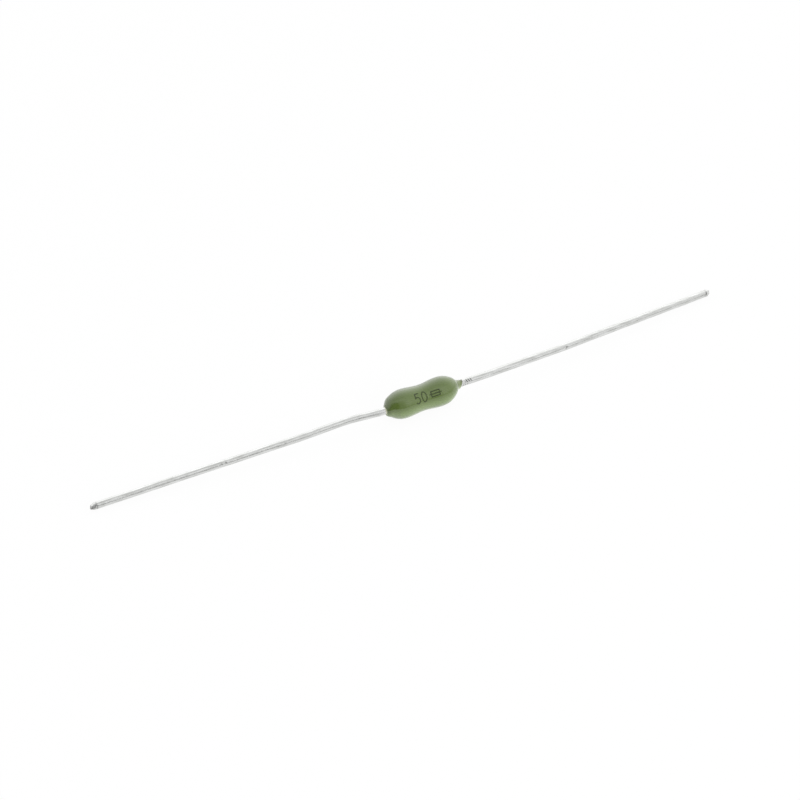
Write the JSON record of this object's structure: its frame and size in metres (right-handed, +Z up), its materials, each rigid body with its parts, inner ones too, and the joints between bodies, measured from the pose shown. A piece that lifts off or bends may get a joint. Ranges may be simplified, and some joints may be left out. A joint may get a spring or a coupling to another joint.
{
  "type": "axial fuse",
  "caption": "Sub-miniature axial-lead fuse: dog-bone epoxy-dipped body over a capped ceramic tube and fuse wire, with a long slightly bent tinned lead out of each end.",
  "frame": {"origin": "on the flat surface that the fuse lies on, under the middle of the body", "axes": "+X along the body's axis towards the right lead, +Z up from the surface, +Y to the back"},
  "size_m": [0.0596, 0.0033, 0.0024],
  "materials": {
    "epoxy": "gloss",
    "tube_ceramic": "matte",
    "cap_brass": "satin",
    "tinned_lead": "satin",
    "fuse_metal": "bright",
    "solder": "satin"
  },
  "bodies": {
    "root": {"epoxy_coating": "epoxy", "ceramic_tube": "tube_ceramic", "end_cap_left": "cap_brass", "end_cap_right": "cap_brass", "lead_left": "tinned_lead", "lead_right": "tinned_lead", "fuse_wire": "fuse_metal", "solder_left": "solder", "solder_right": "solder"}
  },
  "joints": []
}
